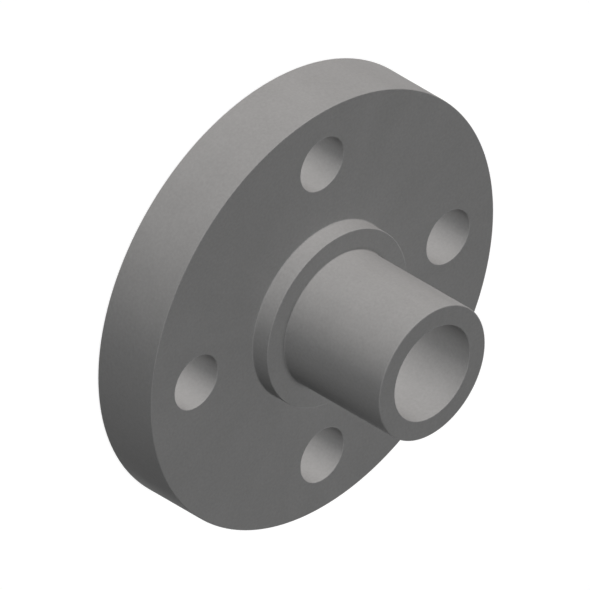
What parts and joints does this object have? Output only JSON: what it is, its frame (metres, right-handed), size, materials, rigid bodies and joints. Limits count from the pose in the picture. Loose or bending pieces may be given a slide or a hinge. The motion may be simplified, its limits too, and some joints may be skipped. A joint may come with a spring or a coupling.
{
  "type": "pvc spigot flange",
  "caption": "Round pipe flange with a ring of bolt holes, a short raised collar and a plain spigot that cements into a pipe socket, all on one straight bore.",
  "frame": {"origin": "centre of the sealing face, on the pipe axis, at the lowest point of the part", "axes": "+Z along the pipe axis, from the sealing face towards the spigot's end; +X and +Y each pass through a bolt hole"},
  "size_m": [0.108, 0.108, 0.0515],
  "materials": {
    "grey_pvc": "satin"
  },
  "bodies": {
    "root": {"spigot_flange": "grey_pvc"}
  },
  "joints": []
}
